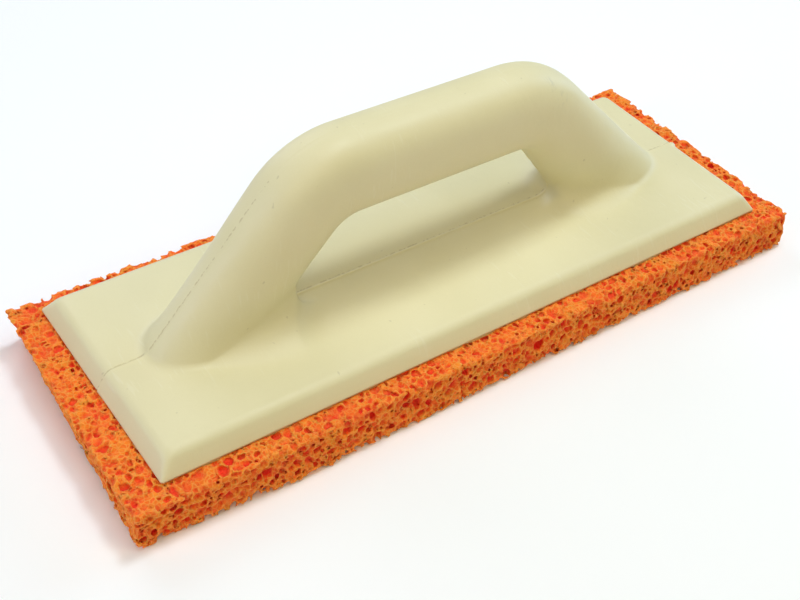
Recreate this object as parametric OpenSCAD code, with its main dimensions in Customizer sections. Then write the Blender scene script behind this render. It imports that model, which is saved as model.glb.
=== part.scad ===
// Sponge float: a rigid foam board with its handle moulded in one with it, bonded to a
// coarse open-cell sponge pad that does the work.
// Millimetres. The origin is the middle of the pad's working face, +X runs along the float
// from its rear leg to its front leg, and +Z points up through the handle.

/* [Sponge pad] */
// Length of the pad
pad_l = 280; // [240:1:360]
// Width of the pad
pad_w = 102; // [90:1:160]
// Thickness of the pad
pad_t = 15; // [8:0.5:30]

/* [Board] */
// Rim of bare sponge beyond each end of the board
rim_end = 11; // [4:0.5:20]
// Rim of bare sponge beyond each side of the board
rim_side = 6.5; // [4:0.5:20]
// Thickness of the board
board_t = 6.8; // [5:0.2:12]
// How far the bevelled edges lean in from the board's bottom to its top
bevel_run = 4.4; // [2:0.2:8]
// Radius on the board's top edges and bevelled corners
edge_r = 1.8; // [0.5:0.1:2.5]
// Radius of the board's corners at its bottom, seen from above
corner_r = 0.8; // [0.4:0.1:2]

/* [Adhesive film] */
// Thickness of the bond line between the board and the pad
film_t = 0.4; // [0.2:0.1:1]
// How far the film stops short of the board's edge
film_inset = 1; // [0.5:0.5:4]

/* [Handle] */
// Height of the handle's top above the board
handle_h = 62.6; // [56:0.2:72]
// Height of the grip's section
grip_h = 30.6; // [24:0.2:34]
// Width of the handle
handle_w = 25; // [20:0.2:34]
// Distance from the middle of the float to the outer foot of the rear leg
foot_reach = 111.8; // [106:0.2:118]
// Radius of the fillet inside the finger gap, at the foot of each leg
foot_fillet = 5; // [2:0.5:7]
// Radius of the fillet along the sides of each foot
side_fillet = 2; // [1:0.5:5]
// How much each side of a foot flares out above its fillet
foot_flare = 2.2; // [0:0.2:4]

/* [Hidden] */

cream = [0.87, 0.85, 0.70];
honey = [0.80, 0.66, 0.36];
orange = [0.91, 0.46, 0.14];

board_l = pad_l - 2 * rim_end;
board_w = pad_w - 2 * rim_side;
board_z = pad_t + film_t;
deck_z = board_z + board_t;          // top of the board, where the legs stand
top_z = deck_z + handle_h;           // top of the grip
under_z = top_z - grip_h;            // underside of the grip

// Each leg in side view: where its outer line meets the deck, that line's slope, the radius of
// its outer shoulder, and the same for its inner line, which has a fillet at the deck.
OUTER_FOOT = 0;
OUTER_SLOPE = 1;
OUTER_R = 2;
INNER_FOOT = 3;
INNER_SLOPE = 4;
INNER_R = 5;
rear_leg = [foot_reach, 48.7, 40.6, foot_reach - 45.2, 50.7, 10];
front_leg = [foot_reach - 1.3, 44.1, 41.2, foot_reach - 50.7, 52.4, 10];

// The handle's section is an oval: a power of 2 is an ellipse, and more is squarer.
leg_power = 2.1;
grip_power = 2.65;
leg_power_h = 18;                    // height above the deck up to which a leg stays as it is
grip_power_h = 53;                   // height above the deck from which the section is the grip's
section_points = 36;
corner_facets = 32;
foot_steps = 7;
leg_steps = 4;
shoulder_steps = 9;
grip_steps = 3;
foot_top = foot_fillet * 2;          // height of the level, flared sections above the deck
foot_root = 2;                       // depth that each foot runs down into the board
lip_h = 0.6;                         // height of the upright lip round the board's bottom

// A point on the line that leans in from the foot at the given slope.
function lean(foot, slope, z) = foot - (z - deck_z) / tan(slope);

// The rounded corner where a leaning line meets the level at z. share runs from 0 on the
// leaning line to 1 on the level line.
function shoulder(foot, slope, r, z, share) =
    let (turn = 90 - slope * (1 - share))
    [lean(foot, slope, z) - r * tan(slope / 2) + r * cos(turn), z - r + r * sin(turn)];

// Outer side of a foot at height h above the deck.
function foot_outer(leg, h) = lean(leg[OUTER_FOOT], leg[OUTER_SLOPE], deck_z + h);

// Inner side of a foot: the fillet's arc, up to where it touches the leaning line.
function foot_inner(leg, h) =
    let (touch = foot_fillet * (1 + cos(leg[INNER_SLOPE])),
         centre = leg[INNER_FOOT] - foot_fillet / tan(leg[INNER_SLOPE] / 2),
         rise = h - foot_fillet)
    h < touch ? centre + sqrt(foot_fillet * foot_fillet - rise * rise)
              : lean(leg[INNER_FOOT], leg[INNER_SLOPE], deck_z + h);

// How far the sides of a foot spread at height h: the flare, and the fillet's arc below it.
function side_spread(h) =
    foot_flare * pow(1 - h / foot_top, 2) +
    (h < side_fillet ? side_fillet - sqrt(side_fillet * side_fillet - pow(side_fillet - h, 2)) : 0);

function mix(a, b, share) = a * (1 - share) + b * share;
function ease(t) = t < 0 ? 0 : t > 1 ? 1 : t * t * (3 - 2 * t);

// How square a section is whose middle is at height z.
function power_at(z) =
    mix(leg_power, grip_power, ease((z - deck_z - leg_power_h) / (grip_power_h - leg_power_h)));

// A section is its outer point, its inner point and half its width. Points are [x, z], with
// x positive on either leg.
function foot_section(leg, h, z) =
    [[foot_outer(leg, h), z], [foot_inner(leg, h), z], handle_w / 2 + side_spread(h)];
function shoulder_section(leg, share) =
    [shoulder(leg[OUTER_FOOT], leg[OUTER_SLOPE], leg[OUTER_R], top_z, share),
     shoulder(leg[INNER_FOOT], leg[INNER_SLOPE], leg[INNER_R], under_z, share),
     handle_w / 2];
function mix_sections(a, b, share) = [for (k = [0 : 2]) mix(a[k], b[k], share)];
function leg_sections(leg) =
    let (low = foot_section(leg, foot_top, deck_z + foot_top), high = shoulder_section(leg, 0))
    concat(
        [foot_section(leg, 0, deck_z - foot_root)],
        [for (i = [0 : foot_steps]) let (h = foot_top * (1 - cos(90 * i / foot_steps)))
            foot_section(leg, h, deck_z + h)],
        [for (i = [1 : leg_steps]) mix_sections(low, high, i / leg_steps)],
        [for (i = [1 : shoulder_steps]) shoulder_section(leg, i / shoulder_steps)]);

// The whole handle, from the rear foot over the grip to the front foot, in the same form but
// with x signed.
function signed(s, side) = [[s[0][0] * side, s[0][1]], [s[1][0] * side, s[1][1]], s[2]];
function handle_sections() =
    let (rear = [for (s = leg_sections(rear_leg)) signed(s, -1)],
         front = [for (s = leg_sections(front_leg)) signed(s, 1)],
         a = rear[len(rear) - 1],
         b = front[len(front) - 1])
    concat(
        rear,
        [for (i = [1 : grip_steps - 1]) mix_sections(a, b, i / grip_steps)],
        [for (i = [len(front) - 1 : -1 : 0]) front[i]]);

// The ring of points round one section, a rounded oval between its outer and inner points.
function bulge(t, power) = sign(t) * pow(abs(t), 2 / power);
function ring(s) =
    let (power = power_at((s[0][1] + s[1][1]) / 2))
    [for (i = [0 : section_points - 1])
        let (turn = 360 * i / section_points,
             p = mix(s[0], s[1], (1 - bulge(cos(turn), power)) / 2))
        [p[0], s[2] * bulge(sin(turn), power), p[1]]];

module handle() {
    sections = handle_sections();
    n = section_points;
    last = len(sections) - 1;
    points = [for (s = sections) each ring(s)];
    walls = [for (j = [0 : last - 1]) for (i = [0 : n - 1])
        let (a = j * n + i, b = j * n + (i + 1) % n)
        each [[a, b, b + n], [a, b + n, a + n]]];
    rear_end = [for (i = [n - 1 : -1 : 0]) i];
    front_end = [for (i = [0 : n - 1]) last * n + i];
    polyhedron(points, concat(walls, [rear_end], [front_end]), convexity = 6);
}

// The bevelled board, with its top edges and corners rounded.
module board() {
    hull() {
        for (x = [-1, 1], y = [-1, 1]) {
            translate([x * (board_l / 2 - corner_r), y * (board_w / 2 - corner_r), board_z])
                cylinder(r = corner_r, h = lip_h, $fn = corner_facets);
            translate([x * (board_l / 2 - bevel_run - edge_r),
                       y * (board_w / 2 - bevel_run - edge_r), deck_z - edge_r])
                sphere(r = edge_r, $fn = corner_facets);
        }
    }
}

module float_body() {
    color(cream) union() {
        board();
        handle();
    }
}

module adhesive_film() {
    color(honey)
        translate([-board_l / 2 + film_inset, -board_w / 2 + film_inset, pad_t])
            cube([board_l - 2 * film_inset, board_w - 2 * film_inset, film_t]);
}

module sponge_pad() {
    color(orange)
        translate([-pad_l / 2, -pad_w / 2, 0])
            cube([pad_l, pad_w, pad_t]);
}

float_body();
adhesive_film();
sponge_pad();
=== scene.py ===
import math

import bpy
import numpy as np
from mathutils import Matrix, Vector


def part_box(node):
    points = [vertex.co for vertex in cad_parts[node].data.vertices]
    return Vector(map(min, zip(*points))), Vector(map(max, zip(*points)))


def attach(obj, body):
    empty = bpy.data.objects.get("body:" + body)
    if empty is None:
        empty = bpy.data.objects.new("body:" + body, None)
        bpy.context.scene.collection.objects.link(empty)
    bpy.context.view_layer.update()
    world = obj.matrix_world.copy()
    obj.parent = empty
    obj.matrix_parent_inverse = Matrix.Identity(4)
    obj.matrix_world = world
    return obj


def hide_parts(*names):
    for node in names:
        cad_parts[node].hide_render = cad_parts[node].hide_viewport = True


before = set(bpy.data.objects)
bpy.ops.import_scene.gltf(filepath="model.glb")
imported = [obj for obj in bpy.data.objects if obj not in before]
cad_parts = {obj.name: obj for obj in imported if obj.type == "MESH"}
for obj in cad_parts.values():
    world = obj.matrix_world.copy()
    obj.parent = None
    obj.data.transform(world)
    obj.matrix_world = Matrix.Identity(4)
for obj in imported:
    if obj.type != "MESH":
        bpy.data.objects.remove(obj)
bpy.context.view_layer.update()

MM = 0.001  # the shapes below are worked out in millimetres

# ---------------------------------------------------------------- sizes from the frame


def box_mm(node):
    """Lowest and highest corner of a CAD node, in millimetres."""
    lo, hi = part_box(node)
    return np.array(lo) / MM, np.array(hi) / MM


body_lo, body_hi = box_mm("float_body")
pad_lo, pad_hi = box_mm("sponge_pad")
film_lo, film_hi = box_mm("adhesive_film")

BOARD_T = 6.8  # thickness of the board
BEVEL_RUN = 4.4  # how far its edges lean in towards the top
EDGE_R = 1.8  # radius on its top edges
LOW_EDGE_R = 0.3  # radius on its bottom edges
CORNER_R = 0.6  # radius of its corners at the bottom, seen from above
CORNER_R_RISE = 1.9  # how much larger that radius is at the top
DECK = body_lo[2] + BOARD_T  # top of the board
GRIP_TOP = body_hi[2]
GRIP_H = 30.6  # height of the grip's section
GRIP_UNDER = GRIP_TOP - GRIP_H
HANDLE_HALF_W = 12.5
FLARE = 2.2  # how much each side of a foot flares out
FLARE_H = 12  # height above the deck at which the flare starts

# The handle's section is an oval: a power of 2 is an ellipse, and more is squarer. It changes
# from the legs' to the grip's between two heights above the deck.
LEG_POWER = 2.1
GRIP_POWER = 2.65
LEG_POWER_H = 18
GRIP_POWER_H = 53

# Each leg in side view: where its outer line meets the deck, that line's slope and the radius
# of its outer shoulder, then the same for its inner line.
REAR_LEG = dict(outer=(111.8, 48.7, 40.6), inner=(66.6, 50.7, 10))
FRONT_LEG = dict(outer=(110.5, 44.1, 41.2), inner=(61.1, 52.4, 10))

# The fillet between the handle and the deck is widest inside the finger gap, on the flanks of the
# legs. Each pair is the radius added at the rear leg, and how much less the front leg has.
FOOT_FILLET = 1.4  # all round each foot
GAP_FILLET = (7.0, 1.4)
FLANK_FILLET = (9.0, 4.0)
FRONT_BLEND = 40  # distance from the middle at which the front leg's fillet is reached
FLANK_BLEND = 8  # distance from the handle's middle plane at which the flank's fillet is reached


# ---------------------------------------------------------------- noise and meshing


def lattice_noise(points, cell, seed):
    """Smooth noise from -1 to 1 at points, with features about one cell across."""
    rng = np.random.default_rng(seed)
    size = 32
    table = rng.uniform(-1, 1, (size, size, size))
    p = points / cell
    base = np.floor(p).astype(int)
    f = p - base
    f = f * f * (3 - 2 * f)
    total = 0.0
    for corner in range(8):
        step = np.array([corner >> 2 & 1, corner >> 1 & 1, corner & 1])
        weight = np.prod(np.where(step == 1, f, 1 - f), axis=-1)
        i, j, k = np.moveaxis((base + step) % size, -1, 0)
        total = total + weight * table[i, j, k]
    return total


def grid_noise(axes, cell, seed):
    """Smooth noise from -1 to 1 over a whole grid, with features about one cell across."""
    rng = np.random.default_rng(seed)
    size = [int(np.ptp(a) / cell) + 3 for a in axes]
    values = rng.uniform(-1, 1, size)
    for axis, lines in enumerate(axes):
        at = (lines - lines[0]) / cell
        low = np.floor(at).astype(int)
        f = at - low
        f = f * f * (3 - 2 * f)
        shape = [1, 1, 1]
        shape[axis] = -1
        f = f.reshape(shape)
        a, b = np.take(values, low, axis), np.take(values, low + 1, axis)
        values = a * (1 - f) + b * f
    return values.astype(np.float32)


def rounded(a, b, r):
    """The larger of two distances, with the corner between them rounded."""
    u, v = np.maximum(a + r, 0), np.maximum(b + r, 0)
    return np.minimum(-r, np.maximum(a, b)) + np.sqrt(u * u + v * v)


def grid_points(xs, ys, zs):
    """Every point of a grid, as an array of [x, y, z]."""
    return np.stack(np.meshgrid(xs, ys, zs, indexing="ij"), -1)


def surface_net(field, xs, ys, zs):
    """The closed surface where field is 0 on a grid, as vertices and quads. Inside is negative."""
    inside = field < 0
    nx, ny, nz = field.shape
    cells = (nx - 1, ny - 1, nz - 1)
    axes = (xs, ys, zs)
    total = np.zeros(cells + (3,))
    count = np.zeros(cells)

    def part(array, start, stops):
        return array[tuple(slice(s, n + s) for s, n in zip(start, stops))]

    for axis in range(3):
        step = np.eye(3, dtype=int)[axis]
        others = [a for a in range(3) if a != axis]
        for i in (0, 1):
            for j in (0, 1):
                start = np.zeros(3, int)
                start[others[0]], start[others[1]] = i, j
                a, b = part(field, start, cells), part(field, start + step, cells)
                crossed = (a < 0) != (b < 0)
                share = np.where(crossed, a / np.where(crossed, a - b, 1), 0)
                for k in range(3):
                    shape = [1, 1, 1]
                    shape[k] = -1
                    low = axes[k][start[k] : start[k] + cells[k]].reshape(shape)
                    if k == axis:
                        high = axes[k][start[k] + 1 : start[k] + 1 + cells[k]].reshape(shape)
                        low = low + (high - low) * share
                    total[..., k] += np.where(crossed, low, 0)
                count += crossed
    used = count > 0
    index = np.full(cells, -1)
    index[used] = np.arange(used.sum())
    verts = total[used] / count[used][:, None]
    quads = []
    for axis in range(3):
        u, v = [(1, 2), (2, 0), (0, 1)][axis]
        step = np.eye(3, dtype=int)
        low = [1, 1, 1]
        low[axis] = 0
        stops = [n - 1 for n in cells]
        stops[axis] = cells[axis]
        a = part(inside, low, stops)
        b = part(inside, np.array(low) + step[axis], stops)
        for turn, crossed in ((False, a & ~b), (True, b & ~a)):
            at = np.argwhere(crossed) + low
            ring = [at - step[u] - step[v], at - step[v], at, at - step[u]]
            ids = np.stack([index[tuple(r.T)] for r in ring], 1)
            quads.append(ids[:, ::-1] if turn else ids)
    return verts, np.concatenate(quads)


def without_crumbs(verts, quads, smallest):
    """Drops every separate shell with fewer vertices than smallest."""
    label = np.arange(len(verts))
    while True:
        low = label[quads].min(axis=1)
        new = label.copy()
        np.minimum.at(new, quads.ravel(), np.repeat(low, 4))
        new = new[new]
        if np.array_equal(new, label):
            break
        label = new
    sizes = np.bincount(label, minlength=len(verts))
    keep = sizes[label] >= smallest
    quads = quads[keep[quads[:, 0]]]
    number = np.cumsum(keep) - 1
    return verts[keep], number[quads]


def settle(verts, distance, steps, reach):
    """Moves vertices onto the zero of a distance function, by at most reach in all."""
    start = verts.copy()
    h = 0.02
    for _ in range(steps):
        d = distance(verts)
        slope = np.stack(
            [(distance(verts + h * e) - distance(verts - h * e)) / (2 * h) for e in np.eye(3)], -1
        )
        size = np.maximum((slope**2).sum(-1), 0.25)
        verts = verts - slope * (d / size)[:, None]
        move = verts - start
        length = np.linalg.norm(move, axis=1, keepdims=True)
        verts = start + move * np.minimum(1, reach / np.maximum(length, 1e-9))
    return verts


def mesh_object(name, verts, quads):
    """A smooth-shaded object in metres from vertices in millimetres."""
    mesh = bpy.data.meshes.new(name)
    mesh.vertices.add(len(verts))
    mesh.vertices.foreach_set("co", (verts * MM).astype(np.float32).ravel())
    mesh.loops.add(quads.size)
    mesh.loops.foreach_set("vertex_index", quads.astype(np.int32).ravel())
    mesh.polygons.add(len(quads))
    mesh.polygons.foreach_set("loop_start", np.arange(0, quads.size, 4, dtype=np.int32))
    mesh.update(calc_edges=True)
    mesh.validate()
    mesh.polygons.foreach_set("use_smooth", np.ones(len(mesh.polygons), bool))
    obj = bpy.data.objects.new(name, mesh)
    bpy.context.scene.collection.objects.link(obj)
    return obj


def convexity(mesh, step):
    """How far each vertex stands out from its neighbours, in steps: positive on ridges."""
    co = np.empty(len(mesh.vertices) * 3)
    mesh.vertices.foreach_get("co", co)
    co = co.reshape(-1, 3) / MM
    normal = np.empty(len(mesh.vertices) * 3)
    mesh.vertex_normals.foreach_get("vector", normal)
    normal = normal.reshape(-1, 3)
    edges = np.empty(len(mesh.edges) * 2, int)
    mesh.edges.foreach_get("vertices", edges)
    a, b = edges.reshape(-1, 2).T
    count = np.bincount(edges, minlength=len(co))[:, None]
    around = np.stack(
        [np.bincount(a, co[b, k], len(co)) + np.bincount(b, co[a, k], len(co)) for k in range(3)],
        1,
    )
    return ((co - around / np.maximum(count, 1)) * normal).sum(1) / step


def add_attribute(obj, name, values):
    """Gives every vertex a value that a material can read."""
    attribute = obj.data.attributes.new(name, "FLOAT", "POINT")
    attribute.data.foreach_set("value", values.astype(np.float32))


# ---------------------------------------------------------------- float body


def leaning_outline(x, z, foot, slope, r, top):
    """Signed distance to an outline with one side leaning in from the foot and a level top,
    joined by radius r. Negative inside, for x positive."""
    a = math.radians(slope)
    side = (x - foot) * math.sin(a) + (z - DECK) * math.cos(a) + r
    over = z - top + r
    c = math.cos(a)
    det = 1 - c * c
    along_side = (side - c * over) / det
    along_over = (over - c * side) / det
    corner = (along_side > 0) & (along_over > 0)
    arc = np.sqrt(np.maximum(along_side**2 + along_over**2 + 2 * along_side * along_over * c, 0))
    return np.where(corner, arc, np.maximum(side, over)) - r


def handle_level(p):
    """1 on the handle's surface, less inside and more outside, with how far through the
    section each point is: -1 at the inner line and 1 at the outer."""
    x, y, z = p[..., 0], p[..., 1], p[..., 2]
    size = np.abs(x)
    outer, inner = [
        np.where(
            x < 0,
            leaning_outline(size, z, *REAR_LEG[side], top),
            leaning_outline(size, z, *FRONT_LEG[side], top),
        )
        for side, top in (("outer", GRIP_TOP), ("inner", GRIP_UNDER))
    ]
    half_h = np.maximum((inner - outer) / 2, 2)
    through = (inner + outer) / 2 / half_h
    rise = np.clip((z - DECK - LEG_POWER_H) / (GRIP_POWER_H - LEG_POWER_H), 0, 1)
    n = LEG_POWER + (GRIP_POWER - LEG_POWER) * rise * rise * (3 - 2 * rise)
    half_w = HANDLE_HALF_W + FLARE * np.clip(1 - (z - DECK) / FLARE_H, 0, 1.2) ** 2
    level = (np.abs(through) ** n + np.abs(y / half_w) ** n) ** (1 / n)
    return level, through


def handle_distance(p):
    """Distance to the handle, negative inside, with how far through the section each point is."""
    h = 0.05
    level, through = handle_level(p)
    slope = [
        (handle_level(p + h * e)[0] - handle_level(p - h * e)[0]) / (2 * h) for e in np.eye(3)
    ]
    size = np.sqrt(sum(s * s for s in slope))
    return (level - 1) / np.maximum(size, 0.02), through


def board_distance(p):
    """Signed distance to the bevelled board, with rounded top edges and corners."""
    half = body_hi[:2]
    lean = math.atan2(BEVEL_RUN, BOARD_T)
    q = np.abs(p[..., :2]) - half
    drop = (p[..., 2] - body_lo[2])[..., None] * math.sin(lean)
    sides = q * math.cos(lean) + drop
    over = p[..., 2] - DECK
    under = body_lo[2] - p[..., 2]
    rise = np.clip(p[..., 2] - body_lo[2], 0, BOARD_T) / BOARD_T
    corner_r = CORNER_R + CORNER_R_RISE * rise
    walls = rounded(sides[..., 0], sides[..., 1], corner_r)
    return rounded(rounded(walls, over, EDGE_R), under, LOW_EDGE_R)


def bump_at(distance, width):
    """A smooth rise of 1 that dies away over width on both sides of distance 0."""
    return np.exp(-((distance / width) ** 2))


def seam_height(p, through):
    """How far the mould's parting line stands proud of the surface, negative where it sinks."""
    x, y, z = p[..., 0], p[..., 1], p[..., 2]
    along = p * [1, 0, 1]
    rise = np.clip((z - DECK) / (GRIP_TOP - DECK), 0, 1)
    on_handle = np.clip((z - DECK - 0.5) / 2, 0, 1)
    ends = np.clip((np.abs(x) - REAR_LEG["outer"][0] + 1) / 1.5, 0, 1)
    floor = (1 - on_handle) * (1 - ends)
    on_handle = on_handle * (1 - ends)

    # At both ends of the board one half of the mould stood a little higher than the other.
    step_h, gap_h = 0.2, 0.15
    height = ends * (step_h * (y < 0.2) * np.exp((y - 0.2) / 3.5) - gap_h * bump_at(y - 0.3, 0.35))

    # At the front end a small tab of flash is left on the bevel.
    flash_h = 0.9
    flash = np.clip((x - body_hi[0] + BEVEL_RUN + 1.5) / 1.5, 0, 1) * np.clip(z - DECK + 2.5, 0, 1)
    height += flash_h * flash * bump_at(y + 0.5, 0.9)

    # Up the back of each leg a fine line that fades as it climbs, and two faint lines on top.
    lip_h, groove_h = 0.05, 0.10
    fade = np.clip(1.1 - 0.75 * rise, 0, 1)
    spine = on_handle * (through > 0)
    on_leg = np.clip((GRIP_TOP - 3 - z) / 8, 0, 1)
    line = lip_h * bump_at(y - 0.5, 0.3) - groove_h * bump_at(y, 0.3)
    height += spine * on_leg * line * fade
    height += spine * (1 - on_leg) * lip_h * (bump_at(y - 0.9, 0.35) + bump_at(y + 0.9, 0.35))

    # Inside the finger gap a low ragged burr, trimmed off by hand, and along the deck a rib.
    burr_h, rib_h, rib_groove_h = 0.25, 0.26, 0.07
    ragged = lattice_noise(along, 2.2, 31)
    height += on_handle * (through < 0) * bump_at(y, 0.32) * (burr_h + 0.2 * ragged)
    height += floor * (rib_h + 0.06 * ragged) * bump_at(y, 0.5)
    height -= floor * rib_groove_h * bump_at(y - 1.0, 0.3)
    return height


def body_distance(p):
    """The board with the handle grown out of it, fillets at the feet and the parting line."""
    board = board_distance(p)
    handle, through = handle_distance(p)
    front = np.clip(p[..., 0] / FRONT_BLEND, 0, 1)
    flank = np.clip(np.abs(p[..., 1]) / FLANK_BLEND, 0, 1)
    flank = flank * flank * (3 - 2 * flank)
    inner = np.clip((0.3 - through) / 1.3, 0, 1)
    in_gap = GAP_FILLET[0] - GAP_FILLET[1] * front
    on_flank = (FLANK_FILLET[0] - FLANK_FILLET[1] * front) * flank
    fillet = FOOT_FILLET + inner * (in_gap + on_flank)
    u, v = np.maximum(fillet - board, 0), np.maximum(fillet - handle, 0)
    joined = np.maximum(fillet, np.minimum(board, handle)) - np.sqrt(u * u + v * v)
    plain = np.where((board > fillet) | (handle > fillet), np.minimum(board, handle), joined)
    near = np.abs(p[..., 1]) < 16
    height = np.zeros(plain.shape)
    height[near] = seam_height(p[near], through[near])
    return plain - height


def spaced(start, stop, step, fine_at=(), fine_step=0.3, fine_reach=1.5):
    """Grid lines from start to stop, closer together near each place in fine_at."""
    lines = [start]
    while lines[-1] < stop:
        near = any(abs(lines[-1] - f) < fine_reach for f in fine_at)
        lines.append(lines[-1] + (fine_step if near else step))
    return np.array(lines)


def make_body(step):
    """The moulded body, meshed on a grid that is finer at its edges and its parting line."""
    half = body_hi[:2]
    xs = spaced(-half[0] - 1.5, half[0] + 1.5, step, (-half[0], half[0]), 0.45)
    ys = spaced(-half[1] - 1.5, half[1] + 1.5, step, (-half[1], 0, half[1]), 0.25)
    zs = spaced(body_lo[2] - 0.9, body_hi[2] + 2, step, (body_lo[2], DECK), 0.45)
    p = grid_points(xs, ys, zs)
    field = board_distance(p)
    beside_handle = np.abs(ys) < 24
    above_board = zs > DECK - 4
    near = np.broadcast_to(beside_handle[:, None] & above_board, field.shape)
    field[near] = body_distance(p[near])
    verts, quads = surface_net(field, xs, ys, zs)
    verts = settle(verts, body_distance, 3, 1.0)
    body = mesh_object("float_body_moulding", verts, quads)
    _, through = handle_level(verts)
    height = np.where(np.abs(verts[:, 1]) < 3, seam_height(verts, through), 0)
    # The burr value steers a painted highlight on the raised parting line in the material.
    add_attribute(body, "burr", np.clip(height / 0.35, 0, 1))
    # The groove value steers painted shade in the parting line's grooves in the material.
    add_attribute(body, "groove", np.clip(-height / 0.1, 0, 1))
    return body


# ---------------------------------------------------------------- adhesive film


def make_film(step):
    """The bond line: a thin sheet whose edge was squeezed out unevenly under the board."""
    soak = 0.5  # how deep it has run into the sponge
    xs = spaced(film_lo[0] - 2, film_hi[0] + 2, step)
    ys = spaced(film_lo[1] - 2, film_hi[1] + 2, step)
    zs = spaced(film_lo[2] - soak - 0.6, film_hi[2] + 0.4, 0.2)
    x, y, z = np.meshgrid(xs, ys, zs, indexing="ij", sparse=True)
    axes = (xs, ys, zs)
    edge = np.maximum(np.abs(x) - film_hi[0], np.abs(y) - film_hi[1])
    edge = edge - 0.7 + 0.4 * grid_noise(axes, 5.0, 41) + 0.3 * grid_noise(axes, 2.0, 42)
    depth = soak * (0.6 + 0.4 * grid_noise(axes, 3.0, 43))
    sheet = np.maximum(z - film_hi[2], film_lo[2] - depth - z)
    verts, quads = surface_net(rounded(edge, sheet, 0.2), xs, ys, zs)
    return mesh_object("adhesive_film_sheet", verts, quads)


# ---------------------------------------------------------------- sponge pad

NOWHERE = 9.0  # a distance that counts as far from every cell

# Cells of the sponge, largest first: smallest radius, largest radius, and how many tries per
# cubic centimetre find them a place.
CELL_SIZES = (
    (1.3, 1.8, 80),
    (0.95, 1.3, 600),
    (0.7, 0.95, 1200),
)
CELL_SWELL = 1.3  # how far each cell swells past its radius, up to its walls
CELL_DEPTH = 2.1  # how deep the cells go below the pad's faces, less near its glued top
SMALLEST_SHELL = 400  # vertices of the smallest loose piece of foam that is kept
SPONGE_SHARE = 0.4  # share of the sponge's triangles that is kept

# The pad's cut edges: how far the rear end is cut under at its far corner, from top to bottom,
# how much further in that corner is, and how far the near side bows out at its top and, beyond
# that, at its foot.
UNDERCUT = 4.5
CORNER_CUT = 1.6
BOW = 0.8
BOW_AT_FOOT = 1.9


def pad_skin(x, y, z, waver):
    """Distance to the sponge's cut faces, negative inside. The rear end is cut under towards
    its far corner, and the near side bows out, most at its foot."""
    half_x, half_y = pad_hi[:2]
    low = 1 - z / pad_hi[2]
    far = np.clip((y + half_y) / (2 * half_y), 0, 1)
    under = UNDERCUT * far * low + CORNER_CUT * far**2 - 1.2
    along = np.clip((x + half_x) / 60, 0, 1)
    bow = (BOW + BOW_AT_FOOT * low) * along * along * (3 - 2 * along)
    ends = np.maximum(x - half_x - 0.4, -half_x - x + under)
    sides = np.maximum(y - half_y, -half_y - y - bow - 0.6)
    walls = rounded(ends, sides, 1.5)
    return rounded(rounded(walls, z - pad_hi[2], 0.8), -z, 0.5) + waver


def board_reach(x, y):
    """How far in under the board a place on the pad is, negative outside its edge."""
    return np.minimum(body_hi[0] - np.abs(x), body_hi[1] - np.abs(y))


def foam_cells(axes, wanted, wall, seed):
    """Distance to the nearest of many cells packed side by side with walls between them,
    negative inside a cell."""
    rng = np.random.default_rng(seed)
    step = axes[0][1] - axes[0][0]
    warped = [
        lines.reshape([-1 if k == a else 1 for k in range(3)])
        + 0.55 * grid_noise(axes, 2.4, seed + 1 + a)
        for a, lines in enumerate(axes)
    ]
    nearest = np.full(wanted.shape, NOWHERE, np.float32)
    second = nearest.copy()
    places = np.argwhere(wanted)
    volume = len(places) * step**3 / 1000
    for low, high, tries in CELL_SIZES:
        count = int(tries * volume)
        picks = places[rng.integers(len(places), size=count)]
        radii = rng.uniform(low, high, count)
        stretch = rng.uniform(0.8, 1.25, (count, 3))
        for (i, j, k), r, s in zip(picks.tolist(), radii.tolist(), stretch.tolist()):
            if nearest[i, j, k] < 0.9 * r:
                continue
            reach = int((r * 1.25 + 2.0) / step) + 1
            box = tuple(slice(max(n - reach, 0), n + reach + 1) for n in (i, j, k))
            square = 0
            for a in range(3):
                square = square + ((warped[a][box] - warped[a][i, j, k]) / s[a]) ** 2
            new = np.sqrt(square) - r
            first = nearest[box]
            second[box] = np.minimum(second[box], np.maximum(first, new))
            nearest[box] = np.minimum(first, new)
    return np.maximum(nearest - CELL_SWELL, wall - (second - nearest) / 2)


def thinned(obj, share):
    """Joins the mesh's smallest faces until only a share of its triangles is left, and drops any
    that then lie on top of each other."""
    modifier = obj.modifiers.new("thin", "DECIMATE")
    modifier.ratio = share
    evaluated = obj.evaluated_get(bpy.context.evaluated_depsgraph_get())
    full = obj.data
    obj.data = bpy.data.meshes.new_from_object(evaluated)
    obj.modifiers.clear()
    bpy.data.meshes.remove(full)
    obj.data.name = obj.name
    obj.data.validate()


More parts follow.
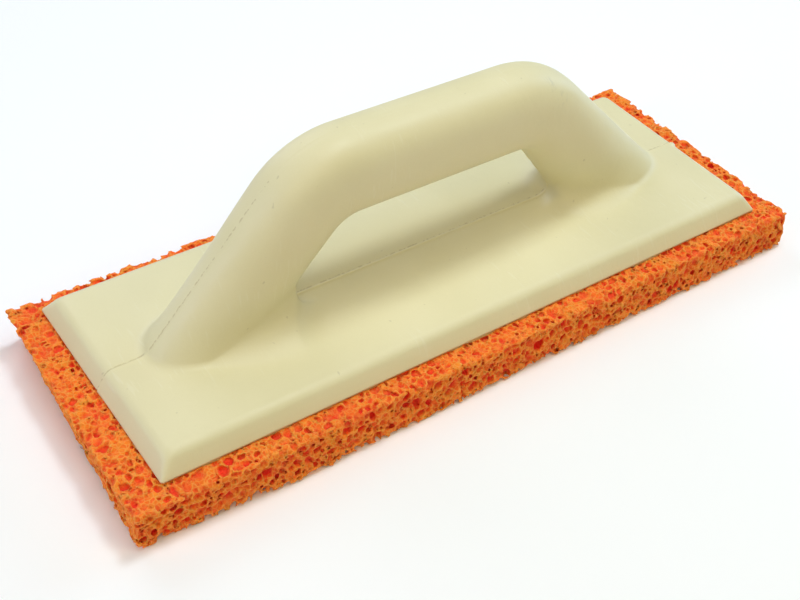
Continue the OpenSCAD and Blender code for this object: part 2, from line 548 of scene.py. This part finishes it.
def box_unwrap(obj, lo, hi, gap=2.0):
    """Lays out one chart for each side of a box from lo to hi, in the UV map that a bake uses.
    Every face goes to the side that it faces most."""
    mesh = obj.data
    co = np.empty(len(mesh.vertices) * 3)
    mesh.vertices.foreach_get("co", co)
    co = co.reshape(-1, 3) / MM - lo + gap / 2
    size = hi - lo + gap
    normal = np.empty(len(mesh.polygons) * 3)
    mesh.polygons.foreach_get("normal", normal)
    normal = normal.reshape(-1, 3)
    axis = np.abs(normal).argmax(1)
    positive = normal[np.arange(len(normal)), axis] > 0
    vertex = np.empty(len(mesh.loops), int)
    mesh.loops.foreach_get("vertex_index", vertex)
    sides = np.empty(len(mesh.polygons), int)
    mesh.polygons.foreach_get("loop_total", sides)
    face = np.repeat(np.arange(len(sides)), sides)

    # From the bottom up: top and bottom faces, both long sides, then both ends in one row.
    across, up = {2: (0, 1), 1: (0, 2), 0: (1, 2)}, 0.0
    charts = {}
    for a in (2, 1):
        for side in (True, False):
            charts[a, side] = (0.0, up)
            up += size[across[a][1]]
    charts[0, True] = (0.0, up)
    charts[0, False] = (size[1], up)
    up += size[2]
    whole = max(up, size[0], 2 * size[1])
    uv = np.zeros((len(vertex), 2))
    for (a, side), (left, base) in charts.items():
        on = (axis[face] == a) & (positive[face] == side)
        u, v = across[a]
        uv[on, 0] = co[vertex[on], u] + left
        uv[on, 1] = co[vertex[on], v] + base
    layer = mesh.uv_layers.new(name="OFBake")
    layer.data.foreach_set("uv", (uv / whole).astype(np.float32).ravel())


def make_sponge(step):
    """The pad: its wavering cut outline with open cells eaten into every face but the glued one."""
    half_x, half_y, top = pad_hi
    xs = np.arange(-half_x - 2.5, half_x + 2.0 + step, step)
    ys = np.arange(-half_y - 4.5, half_y + 1.5 + step, step)
    zs = np.arange(-1.1, top + 1.1 + step, step)
    axes = (xs, ys, zs)
    x, y, z = np.meshgrid(xs, ys, zs, indexing="ij", sparse=True)
    under_board = board_reach(x, y)

    # Under the board the top face is glued: it has no cells and doesn't waver.
    cover = np.clip((under_board - 1.5) / 2, 0, 1) * (z > top - 2.5)
    waver = 0.2 + 0.45 * grid_noise(axes, 5.0, 11) + 0.55 * grid_noise(axes, 1.7, 12)
    waver *= 1 - np.clip((under_board + 1.5) / 2, 0, 1) * (z > top - 4)
    skin = pad_skin(x, y, z, waver)

    # Cells are packed into a layer inside the other faces, and cut where they meet them.
    wanted = (skin < 1.5) & (skin > -4.5) & ((under_board < 4) | (z < top / 2))
    wall = 0.27 + 0.14 * grid_noise(axes, 1.8, 13)
    cells = foam_cells(axes, wanted, wall, 21)
    floor_depth = CELL_DEPTH + 0.9 * grid_noise(axes, 4.0, 14) - 0.9 * (z > top - 3.5)
    cells = np.maximum(cells, -skin - floor_depth) + NOWHERE * cover
    field = np.maximum(skin, -cells)
    verts, quads = surface_net(field, xs, ys, zs)
    verts, quads = without_crumbs(verts, quads, SMALLEST_SHELL)
    depth = -pad_skin(*verts.T, 0.0)
    sponge = mesh_object("sponge_pad_foam", verts, quads)
    # Depth below the cut faces, which the material turns into painted shade inside the cells.
    add_attribute(sponge, "depth", np.clip(depth, 0, 4))
    # Convexity, which the material turns into painted highlights on ridges and painted shade in
    # hollows.
    add_attribute(sponge, "ridge", convexity(sponge.data, step))
    thinned(sponge, SPONGE_SHARE)
    box_unwrap(sponge, verts.min(0), verts.max(0))
    return sponge


# ---------------------------------------------------------------- materials


class Nodes:
    """A small helper that builds one procedural material."""

    def __init__(self, name):
        self.mat = bpy.data.materials.new(name)
        self.mat.use_nodes = True
        self.tree = self.mat.node_tree
        self.shader = self.tree.nodes["Principled BSDF"]

    def add(self, kind, **settings):
        """A new node; each setting is one of its inputs or properties."""
        node = self.tree.nodes.new("ShaderNode" + kind)
        for key, value in settings.items():
            if key in node.inputs:
                node.inputs[key].default_value = value
            else:
                setattr(node, key, value)
        return node

    def link(self, source, target):
        self.tree.links.new(source, target)

    def noise(self, scale, detail=3.0, roughness=0.55, stretch=(1, 1, 1)):
        """Noise over the object's own space, with scale in features per metre."""
        place = self.add("Mapping")
        place.inputs["Scale"].default_value = stretch
        self.link(self.add("TexCoord").outputs["Object"], place.inputs["Vector"])
        tex = self.add("TexNoise", Scale=scale, Detail=detail, Roughness=roughness)
        self.link(place.outputs["Vector"], tex.inputs["Vector"])
        return tex.outputs["Fac"]

    def facets(self, scale):
        """Small irregular cells, scale of them per metre: distance to the nearest cell edge,
        and a value of its own for each cell."""
        space = self.add("TexCoord").outputs["Object"]
        edge = self.add("TexVoronoi", feature="DISTANCE_TO_EDGE", Scale=scale)
        cell = self.add("TexVoronoi", feature="F1", Scale=scale)
        parts = self.add("SeparateColor")
        self.link(space, edge.inputs["Vector"])
        self.link(space, cell.inputs["Vector"])
        self.link(cell.outputs["Color"], parts.inputs["Color"])
        return edge.outputs["Distance"], parts.outputs["Red"]

    def spot(self, place, radius):
        """1 at a place in millimetres, fading to 0 at the radius."""
        away = self.add("VectorMath", operation="DISTANCE")
        away.inputs[1].default_value = [c * MM for c in place]
        self.link(self.add("TexCoord").outputs["Object"], away.inputs[0])
        return self.span(away.outputs["Value"], 0, radius * MM, 1, 0)

    def maths(self, operation, a, b):
        """Two outputs joined by one operation."""
        node = self.add("Math", operation=operation)
        self.link(a, node.inputs[0])
        self.link(b, node.inputs[1])
        return node.outputs["Value"]

    def product(self, a, b):
        return self.maths("MULTIPLY", a, b)

    def total(self, a, b):
        return self.maths("ADD", a, b)

    def ramp(self, source, stops):
        """A colour ramp; stops are (position, colour)."""
        node = self.add("ValToRGB")
        elements = node.color_ramp.elements
        while len(elements) < len(stops):
            elements.new(0.5)
        for element, (position, colour) in zip(elements, stops):
            element.position = position
            element.color = (*colour, 1)
        self.link(source, node.inputs["Fac"])
        return node.outputs["Color"]

    def span(self, source, low, high, to_low=0.0, to_high=1.0):
        """Stretches the span from low to high onto the one from to_low to to_high, clamped."""
        node = self.add("MapRange")
        ends = {"From Min": low, "From Max": high, "To Min": to_low, "To Max": to_high}
        for key, value in ends.items():
            node.inputs[key].default_value = value
        self.link(source, node.inputs["Value"])
        return node.outputs["Result"]

    def mix(self, share, a, b, blend="MIX"):
        """Mixes two colours; each is an output or a plain colour."""
        node = self.add("Mix", data_type="RGBA", blend_type=blend)
        for socket, value in ((node.inputs[0], share), (node.inputs[6], a), (node.inputs[7], b)):
            if isinstance(value, bpy.types.NodeSocket):
                self.link(value, socket)
            else:
                socket.default_value = value if isinstance(value, float) else (*value, 1)
        return node.outputs[2]

    def bump(self, *layers):
        """Bumps one after another; each layer is (height, strength, distance in metres)."""
        last = None
        for height, strength, distance in layers:
            node = self.add("Bump", Strength=strength, Distance=distance)
            self.link(height, node.inputs["Height"])
            if last is not None:
                self.link(last, node.inputs["Normal"])
            last = node.outputs["Normal"]
        self.link(last, self.shader.inputs["Normal"])


SCUFFS = ((41, -8, 81), (45, -11, 75))  # where the front shoulder is scuffed
SCUFF_R = 3.5


def rigid_foam_material():
    m = Nodes("rigid_foam")
    patches = m.noise(28, 2)
    grain = m.noise(2600, 2)
    colour = m.ramp(patches, [(0.3, (0.74, 0.675, 0.40)), (0.7, (0.77, 0.705, 0.435))])
    colour = m.mix(m.span(grain, 0.35, 0.75, 0.0, 0.12), colour, (0.64, 0.56, 0.31))
    groove = m.add("Attribute", attribute_name="groove").outputs["Fac"]
    burr = m.add("Attribute", attribute_name="burr").outputs["Fac"]
    # Painted shade: the parting line's grooves are darkened to a brown tan, broken up by noise, for
    # the shadow that lies in them.
    painted_groove_shade = m.span(m.total(groove, m.span(m.noise(750, 1), 0.35, 0.65)), 0.9, 1.25)
    painted_groove_shade = m.product(painted_groove_shade, m.span(groove, 0.05, 0.3))
    colour = m.mix(m.span(painted_groove_shade, 0, 1, 0, 0.65), colour, (0.54, 0.45, 0.23))
    # Painted highlight: where the parting line stands proud, as burr, rib or flash tab, the colour
    # turns paler, for light catching its crest.
    colour = m.mix(m.span(burr, 0.3, 0.8, 0, 0.6), colour, (0.84, 0.76, 0.44))

    # Wear: tiny dark specks, faint pale scratches in patches, and scuffs on the front shoulder.
    colour = m.mix(m.span(m.noise(420, 1), 0.77, 0.82, 0, 0.25), colour, (0.30, 0.24, 0.12))
    scratch = m.span(m.noise(900, 1, stretch=(1, 0.12, 0.12)), 0.64, 0.7)
    scratch = m.product(scratch, m.span(m.noise(24, 1), 0.52, 0.6))
    colour = m.mix(m.span(scratch, 0, 1, 0, 0.14), colour, (0.86, 0.83, 0.66))
    scuff = m.span(m.noise(700, 3, stretch=(1, 0.4, 0.4)), 0.5, 0.62)
    for place in SCUFFS:
        share = m.product(scuff, m.spot(place, SCUFF_R))
        colour = m.mix(m.span(share, 0, 1, 0, 0.4), colour, (0.40, 0.38, 0.30))
    m.link(colour, m.shader.inputs["Base Color"])
    m.link(m.span(m.noise(60, 4), 0.3, 0.7, 0.46, 0.6), m.shader.inputs["Roughness"])
    m.shader.inputs["Specular IOR Level"].default_value = 0.65
    m.bump((m.noise(160, 3), 0.25, 0.0006), (grain, 0.12, 0.0002), (scratch, 0.15, 0.0001))
    return m.mat


def adhesive_material():
    m = Nodes("dried_adhesive")
    colour = m.ramp(m.noise(140), [(0.3, (0.50, 0.33, 0.10)), (0.7, (0.66, 0.47, 0.18))])
    m.link(colour, m.shader.inputs["Base Color"])
    m.link(m.span(m.noise(300), 0.3, 0.7, 0.3, 0.5), m.shader.inputs["Roughness"])
    m.bump((m.noise(500), 0.3, 0.0003))
    return m.mat


SCATTER = 1.2  # how far light spreads inside the foam


def sponge_material():
    m = Nodes("coarse_sponge")
    depth = m.add("Attribute", attribute_name="depth").outputs["Fac"]
    patches = m.noise(170, 3)
    fine = m.noise(900, 2)
    cell_rims, tone = m.facets(620)
    skin = m.ramp(patches, [(0.3, (0.95, 0.165, 0.014)), (0.7, (0.98, 0.27, 0.024))])
    skin = m.mix(m.span(tone, 0.0, 0.45, 0.6, 0.0), skin, (0.92, 0.085, 0.017))
    skin = m.mix(m.span(fine, 0.5, 0.8, 0.0, 0.3), skin, (0.98, 0.35, 0.045))
    # Painted highlight: thin pale lines along the edges of the small cells, for light caught by
    # their rims.
    skin = m.mix(m.span(cell_rims, 0.16, 0.02, 0.0, 0.5), skin, (0.98, 0.44, 0.085))
    # Painted shade: below the cut faces the colour turns to a deeper, darker red, for the shade and
    # red inter-reflection inside the cells.
    painted_pit_shade = m.ramp(patches, [(0.3, (0.88, 0.026, 0.022)), (0.7, (0.94, 0.07, 0.022))])
    colour = m.mix(m.span(depth, 0.3, 1.8), skin, painted_pit_shade)
    ridge = m.add("Attribute", attribute_name="ridge").outputs["Fac"]
    # Painted highlight on the cell walls' convex ridges, and painted shade in their concave
    # hollows.
    colour = m.mix(m.span(ridge, 0.08, 0.4, 0, 0.7), colour, (0.98, 0.42, 0.095))
    colour = m.mix(m.span(ridge, -0.08, -0.4, 0, 0.5), colour, (0.55, 0.03, 0.02))
    m.link(colour, m.shader.inputs["Base Color"])
    m.shader.inputs["Roughness"].default_value = 0.85
    m.shader.inputs["Specular IOR Level"].default_value = 0.2
    m.shader.inputs["Subsurface Weight"].default_value = 0.4
    m.shader.inputs["Subsurface Radius"].default_value = (1.0, 0.25, 0.1)
    m.shader.inputs["Subsurface Scale"].default_value = SCATTER * MM
    m.bump((m.span(cell_rims, 0.0, 0.3, 1.0, 0.0), 0.5, 0.0004), (fine, 0.3, 0.0003))
    return m.mat


# ---------------------------------------------------------------- stage


FLOOR_DROP = 0.45  # the sponge's uneven face reaches a little below the CAD's flat one


def make_stage():
    """A pale floor and a dim white surrounding."""
    bpy.ops.mesh.primitive_plane_add(size=6, location=(0, 0, (pad_lo[2] - FLOOR_DROP) * MM))
    floor = bpy.context.object
    floor.name = "floor"
    m = Nodes("pale_floor")
    m.shader.inputs["Base Color"].default_value = (0.98, 0.98, 0.98, 1)
    m.shader.inputs["Roughness"].default_value = 0.9
    floor.data.materials.append(m.mat)

    world = bpy.data.worlds.new("studio")
    world.use_nodes = True
    world.node_tree.nodes["Background"].inputs["Color"].default_value = (1, 1, 1, 1)
    world.node_tree.nodes["Background"].inputs["Strength"].default_value = 0.05
    bpy.context.scene.world = world


def soft_light(name, place, target, size, power, colour):
    """A round area light at a place, aimed at the target. Its size is in metres."""
    data = bpy.data.lights.new(name, "AREA")
    data.shape = "DISK"
    data.size = size
    data.energy = power
    data.color = colour
    lamp = bpy.data.objects.new(name, data)
    lamp.location = place
    lamp.rotation_euler = (Vector(target) - Vector(place)).to_track_quat("-Z", "Y").to_euler()
    bpy.context.scene.collection.objects.link(lamp)


def make_lights():
    """A key light, and soft fills from above, both sides of the front, the back and the ends."""
    middle = (0, 0, 0.02)
    soft_light("key", (0.32, 0.1, 1.0), middle, 0.25, 3.7, (0.84, 0.94, 1.0))
    soft_light("overhead", (0.0, -0.1, 1.0), middle, 0.6, 2.4, (1.0, 1.0, 0.92))
    soft_light("front_left", (-0.5, -0.7, 0.8), middle, 0.6, 2.8, (1.0, 0.88, 0.58))
    soft_light("front_right", (0.5, -0.7, 0.8), middle, 0.6, 1.9, (1.0, 0.88, 0.52))
    soft_light("back", (0.0, 1.0, 0.6), middle, 0.8, 4.3, (0.81, 0.85, 1.0))
    soft_light("left", (-1.0, 0.1, 0.4), middle, 0.6, 3.9, (0.70, 0.78, 1.0))
    soft_light("right", (1.0, 0.1, 0.4), middle, 0.6, 4.0, (0.5, 0.7, 1.0))


def make_camera():
    """A camera on the left of the float's near side, looking down at it, slightly rolled."""
    azimuth, elevation, roll = (math.radians(a) for a in (-38.58, 42.52, 5.10))
    target = Vector((-0.0246, -0.0187, 0.020))
    distance = 0.4161
    back = Vector(
        (
            math.sin(azimuth) * math.cos(elevation),
            -math.cos(azimuth) * math.cos(elevation),
            math.sin(elevation),
        )
    )
    level = (-back).cross(Vector((0, 0, 1))).normalized()
    upright = level.cross(-back)
    right = math.cos(roll) * level + math.sin(roll) * upright
    up = -math.sin(roll) * level + math.cos(roll) * upright
    data = bpy.data.cameras.new("camera")
    data.sensor_width = 36
    data.lens = 54.16
    data.clip_start = 0.01
    data.clip_end = 20
    camera = bpy.data.objects.new("camera", data)
    turn = Matrix((right, up, back)).transposed().to_4x4()
    camera.matrix_world = Matrix.Translation(target + back * distance) @ turn
    bpy.context.scene.collection.objects.link(camera)
    bpy.context.scene.camera = camera


# ---------------------------------------------------------------- the model

make_camera()
make_stage()
make_lights()
bpy.context.scene.view_settings.view_transform = "Standard"

body = make_body(1.0)
body.data.materials.append(rigid_foam_material())
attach(body, "root")
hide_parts("float_body")

sponge = make_sponge(0.5)
sponge.data.materials.append(sponge_material())
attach(sponge, "root")
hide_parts("sponge_pad")

film = make_film(1.2)
film.data.materials.append(adhesive_material())
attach(film, "root")
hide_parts("adhesive_film")
